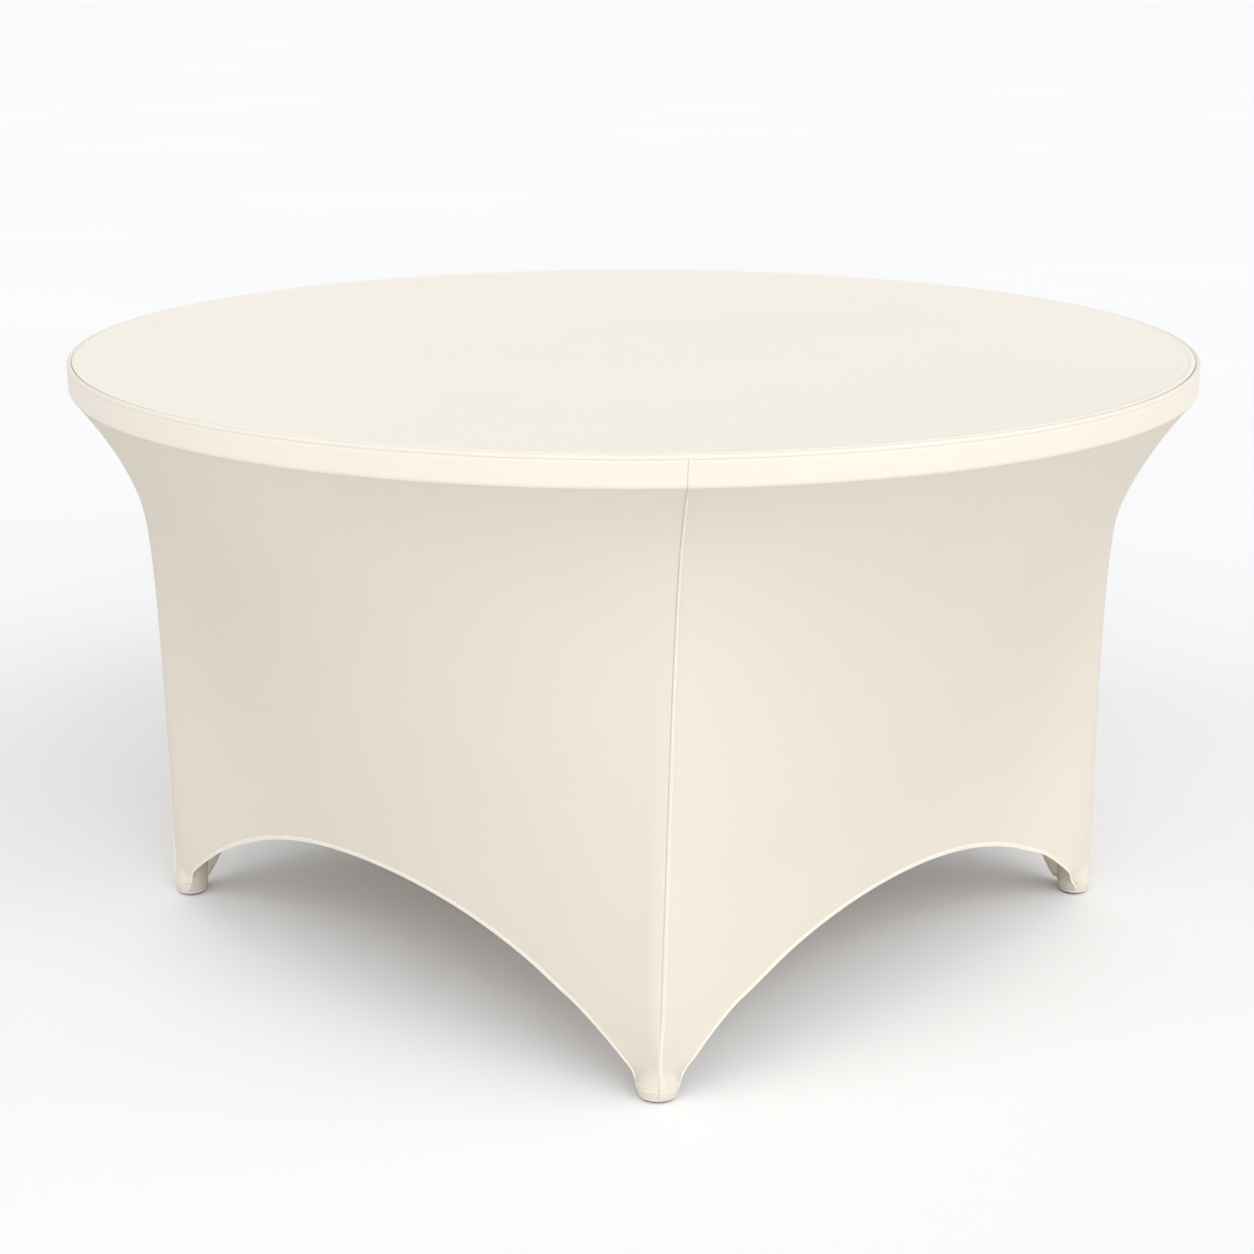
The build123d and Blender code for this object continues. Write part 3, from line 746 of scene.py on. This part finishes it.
def column_heights(side, offset):
    bottom = hem_height(side, offset)
    skirt = [bottom + (TURN_END_HEIGHT - bottom) * share for share in HEIGHT_SHARES]
    turn = [TURN_END_HEIGHT + (COVER_TURN_HEIGHT - TURN_END_HEIGHT) * k / TURN_STEPS
            for k in range(1, TURN_STEPS + 1)]
    return skirt + turn + BAND_HEIGHTS


def skirt_panel(name, side, offsets):
    """A panel's cloth. Over the board's edge it is backed, lets no light through, and takes the rim's darker
    tone, which is painted shade.
    """
    sections = []
    for offset in offsets:
        heights = column_heights(side, offset)
        outer = [cover_spot(side, offset, z) for z in heights]
        inner = [cover_spot(side, offset, z, CLOTH) for z in heights]
        sections.append(outer + inner[::-1])
    panel = sweep(name, sections, SKIRT_KNIT)
    # faces over the board's edge take the darker rim copy: painted shade
    panel.data.materials.append(RIM_KNIT_SHADED)
    for face in panel.data.polygons:
        if face.center.z > TURN_END_HEIGHT:
            face.material_index = 1
    return panel


def hem_frame(side, offset):
    """Where the panel's edge is, the way up from it along the cloth, and the way out of the cloth."""
    turn = 0.0004
    before = free_face(side, offset - turn, hem_height(side, offset - turn))
    after = free_face(side, offset + turn, hem_height(side, offset + turn))
    out = face_normal(side, offset, hem_height(side, offset))
    up = out.cross((after - before).normalized())
    return free_face(side, offset, hem_height(side, offset)), up, out


def hem_share(side, offset):
    """The binding is stretched narrow beside a foot."""
    away = SIDES[side][1] - abs(offset)
    return HEM_NARROWEST + (1 - HEM_NARROWEST) * smooth_step((away - HEM_END) / HEM_NARROW_WAY)


HEM_SECTION = [
    (HEM_WIDTH + 0.0001, 0.0003), (HEM_WIDTH, 0.0), (HEM_WIDTH - 0.0004, -HEM_PROUD * 0.8),
    (HEM_WIDTH - 0.0014, -HEM_PROUD), (HEM_WIDTH / 2, -HEM_PROUD * 1.15), (0.0010, -HEM_PROUD),
    (-0.0002, -HEM_PROUD * 0.4), (-0.0007, CLOTH / 2), (-0.0002, CLOTH + HEM_PROUD * 0.4),
    (0.0010, CLOTH + HEM_PROUD), (HEM_WIDTH / 2, CLOTH + HEM_PROUD * 1.15),
    (HEM_WIDTH - 0.0014, CLOTH + HEM_PROUD), (HEM_WIDTH - 0.0004, CLOTH + HEM_PROUD * 0.8),
    (HEM_WIDTH, CLOTH),
]


def hem_binding(name, side, offsets):
    half = SIDES[side][1]
    lowest = HEM_END + 0.0006
    kept = [offset for offset in offsets if half - abs(offset) > lowest]
    sections = []
    for offset in kept:
        edge, up, out = hem_frame(side, offset)
        share = hem_share(side, offset)
        sections.append([edge + up * height * share - out * depth for height, depth in HEM_SECTION])
    return sweep(name, sections, EDGE_KNIT)


# ---- stitching ----

def stitch_row(path):
    """Short raised threads one after another along a path of (place, way out of the cloth)."""
    travelled = [0.0]
    for (here, _), (following, _) in zip(path, path[1:]):
        travelled.append(travelled[-1] + (following - here).length)
    stitches = []
    span = 0
    start = STITCH_PITCH / 2
    while start + STITCH < travelled[-1]:
        line = []
        for k, lift in enumerate(STITCH_ARCH):
            reached = start + STITCH * k / (len(STITCH_ARCH) - 1)
            while travelled[span + 1] < reached:
                span += 1
            share = (reached - travelled[span]) / (travelled[span + 1] - travelled[span])
            place = path[span][0].lerp(path[span + 1][0], share)
            out = path[span][1].lerp(path[span + 1][1], share).normalized()
            line.append((place + out * lift, out))
        stitches.append(line)
        start += STITCH_PITCH
        span = max(span - 4, 0)
    return stitches


def add_stitches(name, rows):
    """All the stitches of some rows as one piece: each a thin round thread with pointed ends."""
    points, faces = [], []
    for line in (stitch for row in rows for stitch in stitch_row(row)):
        along = (line[-1][0] - line[0][0]).normalized()
        first = len(points)
        points.append(line[0][0] - along * THREAD)
        for place, out in line:
            beside = along.cross(out)
            for k in range(STITCH_SIDES):
                turned = 2 * pi * k / STITCH_SIDES
                points.append(place + (out * cos(turned) + beside * sin(turned)) * THREAD)
        points.append(line[-1][0] + along * THREAD)
        last = len(points) - 1
        for k in range(STITCH_SIDES):
            after = (k + 1) % STITCH_SIDES
            faces.append((first, first + 1 + after, first + 1 + k))
            faces.append((last, last - STITCH_SIDES + k, last - STITCH_SIDES + after))
            for ring in range(len(line) - 1):
                here = first + 1 + ring * STITCH_SIDES
                there = here + STITCH_SIDES
                faces.append((here + k, here + after, there + after, there + k))
    return add_piece(name, points, faces, THREAD_MATERIAL)


def hem_rows(side, offsets):
    """Two rows that hold a hem: one near its upper edge and one near its fold."""
    half = SIDES[side][1]
    kept = [offset for offset in offsets if half - abs(offset) > HEM_END + HEM_END_RISE]
    rows = []
    for height in HEM_STITCH_HEIGHTS:
        row = []
        for offset in kept:
            edge, up, out = hem_frame(side, offset)
            row.append((edge + up * height * hem_share(side, offset) + out * HEM_PROUD, out))
        rows.append(row)
    return rows


def seam_row(side, end, band_share):
    """A row beside a corner seam, from the rim down to the foot, along the folded allowance."""
    half = SIDES[side][1]
    lowest = POCKET_WELT_HEIGHTS[0]
    steps = 240
    row = []
    for k in range(steps + 1):
        z = lowest + (RIM_ROW_TOP - lowest) * k / steps
        offset = end * (half - band_share * band_width(z) / cover_radius(side, end * half, z))
        row.append((cover_spot(side, offset, z), face_normal(side, offset, z)))
    return row


def foot_rows(side, end):
    """The rows round a foot that hold the pocket, from the corner seam to where the hem starts."""
    half = SIDES[side][1]
    steps = 32
    aways = [HEM_END * k / steps for k in range(steps + 1)]
    rows = []
    for z in POCKET_WELT_HEIGHTS:
        rows.append([(cover_spot(side, end * (half - away), z), face_normal(side, end * (half - away), z))
                     for away in aways])
    return rows


PANELS = {
    "skirt_front_right_half": ("front", "right", False, True),
    "skirt_front_left_half": ("front", "left", True, False),
    "skirt_right_panel": ("right", "right", True, True),
    "skirt_back_left_half": ("back", "left", False, True),
    "skirt_back_right_half": ("back", "right", True, False),
    "skirt_left_panel": ("left", "left", True, True),
}

for panel_name, (side, frame_name, low_end, high_end) in PANELS.items():
    offsets = panel_offsets(side, low_end, high_end)
    panel = skirt_panel(panel_name, side, offsets)
    bends_with(panel)
    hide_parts(f"skirt_{side}")
    hem = hem_binding(panel_name.replace("skirt", "hem_of_skirt"), side, offsets)
    bends_with(hem)
    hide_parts(f"hem_{side}")
    rows = hem_rows(side, offsets)
    if high_end:
        rows += foot_rows(side, 1)
    if low_end:
        rows += foot_rows(side, -1)
        rows += [seam_row(side, -1, share) for share in (INSIDE_BAND, BESIDE_BAND)]
    threads = add_stitches(panel_name.replace("skirt", "stitches_of_skirt"), rows)
    bends_with(threads)


# ---- the top panel and its piping ----

def ring_of(section, count):
    """A closed (radius, height) section turned about the table's axis."""
    return [[spot(2 * pi * k / count, radius, z) for radius, z in section] for k in range(count)]


def cover_top():
    """The top's cloth: flat on the board, with a low sewn edge beside the piping."""
    edge = PIPING_RING - PIPING_RADIUS
    top = TABLE_HEIGHT
    upper = [(0.0, top), (0.08, top), (0.2, top), (0.35, top), (0.5, top), (0.62, top),
             (edge - 0.010, top), (edge - 0.0065, top), (edge - 0.0058, top + 0.0003),
             (edge - 0.004, top + 0.0004), (edge - 0.002, top + 0.0003), (edge - 0.0008, top + 0.0001),
             (edge + 0.0003, top - 0.0005)]
    lower = [(edge - 0.0004, top - 0.0020), (0.62, top - CLOTH), (0.0, top - CLOTH)]
    return sweep("cover_top_panel", ring_of(upper + lower, 240), TOP_KNIT, round_trip=True)


def edge_piping():
    around = 14
    section = [(PIPING_RING + PIPING_RADIUS * cos(2 * pi * k / around),
                PIPING_HEIGHT + PIPING_RADIUS * sin(2 * pi * k / around)) for k in range(around)]
    return sweep("edge_piping_cord", ring_of(section, 300), EDGE_KNIT, round_trip=True)


top_panel = cover_top()
piping = edge_piping()
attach(top_panel, "table")
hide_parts("cover_top")
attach(piping, "table")
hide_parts("edge_piping")


# ---- foot pockets ----

CUP_ROWS = [0.0006, 0.0014, 0.0021, 0.0026, 0.0031, 0.0035, 0.0039, 0.0043, 0.0048, 0.0055,
            0.0075, 0.0100, 0.0130, 0.0160]


def cup_top(from_outside):
    """The cup's upper edge: low under the skirt, high at the two sides, scooped behind."""
    raised = smooth_step((from_outside - CUP_RISE_START) / CUP_RISE_WAY)
    scooped = smooth_step((from_outside - CUP_SCOOP_START) / CUP_SCOOP_WAY)
    return (CUP_TOP_OUTSIDE + (CUP_TOP_SIDE - CUP_TOP_OUTSIDE) * raised
            + (CUP_TOP_BEHIND - CUP_TOP_SIDE) * scooped)


def pocket(corner_name):
    """A cup of cloth round a foot's cap, in a darker tone that is painted shade, with a near-black sole that
    is painted contact shade, a rolled edge above it in the lighter edge tone as a painted highlight, and a
    welt at its top.
    """
    corner = CORNERS[corner_name]
    leg = spot(corner, LEG_REACH, 0)
    count = 72
    sections = []
    for k in range(count):
        around = 2 * pi * k / count
        from_outside = min(around, 2 * pi - around)
        bared = smooth_step((from_outside - CUP_BARE_START) / CUP_BARE_WAY)
        reach = exp(-((from_outside - CUP_REACH_AT) / CUP_REACH_SPREAD) ** 2)
        inset = (CLOTH + LAYER_GAP) * (1 - bared)
        top = cup_top(from_outside)
        section = [leg + Vector((0, 0, LAYER_GAP)), round_foot(corner, around, LAYER_GAP, SOLE_RECESS)]
        for z in CUP_ROWS:
            roll = ROLL_UNDER_SKIRT + (ROLL_BARE - ROLL_UNDER_SKIRT) * bared
            roll *= exp(-((z - ROLL_HEIGHT) / ROLL_SOFTNESS) ** 2)
            recess = SOLE_RECESS * (1 - smooth_step((z - SOLE_RECESS_TOP) / SOLE_RECESS_STEP))
            flare = CUP_REACH * reach * (z / top) ** 2
            section.append(round_foot(corner, around, z, max(inset, recess) - roll - flare))
        rise = top - CUP_ROWS[-1]
        for share, welt in CUP_WELT:
            z = CUP_ROWS[-1] + rise * share
            flare = CUP_REACH * reach * (z / top) ** 2
            section.append(round_foot(corner, around, z, inset - welt - flare))
        section.append(round_foot(corner, around, top, inset + CLOTH - CUP_REACH * reach))
        section.append(round_foot(corner, around, CUP_FLOOR_EDGE, inset + CLOTH))
        section.append(leg + Vector((0, 0, CUP_FLOOR_MIDDLE)))
        sections.append(section)
    cup = sweep(f"foot_pocket_cup_{corner_name}", sections, SHADED_POCKET_KNIT, round_trip=True)
    cup.data.materials.append(SOLE_SHADE_MATERIAL)
    cup.data.materials.append(EDGE_KNIT)
    for face in cup.data.polygons:
        # the lowest faces take the near-black sole: painted shade
        if face.center.z < SOLE_SHADE_TOP:
            face.material_index = 1
        # the rolled edge above the sole takes the lighter edge tone, a painted highlight
        elif face.center.z < ROLL_HIGHLIGHT_TOP:
            face.material_index = 2
    return cup


ALLOWANCE_FOOT = 0.034
ALLOWANCE_TOP = TURN_END_HEIGHT - 0.030
ALLOWANCE_DEPTHS = (CLOTH + LAYER_GAP, CLOTH + 0.0011)  # its outer and inner face, in from the skirt's face
ALLOWANCE_ACROSS = (-0.0045, -0.003, -0.0015, 0.0, 0.0015, 0.003, 0.0045)


def seam_allowance(corner_name):
    """The turned-in edges behind a corner seam, from the rim down to the foot."""
    corner = CORNERS[corner_name]
    steps = 59
    sections = []
    for k in range(steps + 1):
        z = ALLOWANCE_FOOT + (ALLOWANCE_TOP - ALLOWANCE_FOOT) * k / steps
        places = [side_beside(corner, beside / CORNER_RADIUS) for beside in ALLOWANCE_ACROSS]
        outer, inner = ([cover_spot(side, offset, z, depth) for side, offset in places]
                        for depth in ALLOWANCE_DEPTHS)
        sections.append(outer + inner[::-1])
    return sweep(f"seam_allowance_{corner_name}", sections, EDGE_KNIT)


def side_beside(corner, turn):
    """The side, and the offset in it, of a place a small turn away from a corner."""
    for side, (middle, half) in SIDES.items():
        offset = (corner + turn - middle + pi) % (2 * pi) - pi
        if abs(offset) <= half + 1e-9:
            return side, offset
    raise ValueError("no side there")


for corner_name in CORNERS:
    frame_name = corner_name.split("_")[0]
    cup = pocket(corner_name)
    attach(cup, f"{frame_name}_legs")
    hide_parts(f"foot_pocket_{corner_name}")
    tape = seam_allowance(corner_name)
    bends_with(tape)
    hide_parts(f"seam_tape_{corner_name}")


# ---- the table's own parts ----

slot_of = {entry["node"]: entry["material_slot"] for entry in frame["record"]["subparts"]}
for node_name, part in frame["nodes"].items():
    finish = TABLE_MATERIALS.get(slot_of[node_name])
    if finish is not None:
        part.data.materials.clear()
        part.data.materials.append(finish)
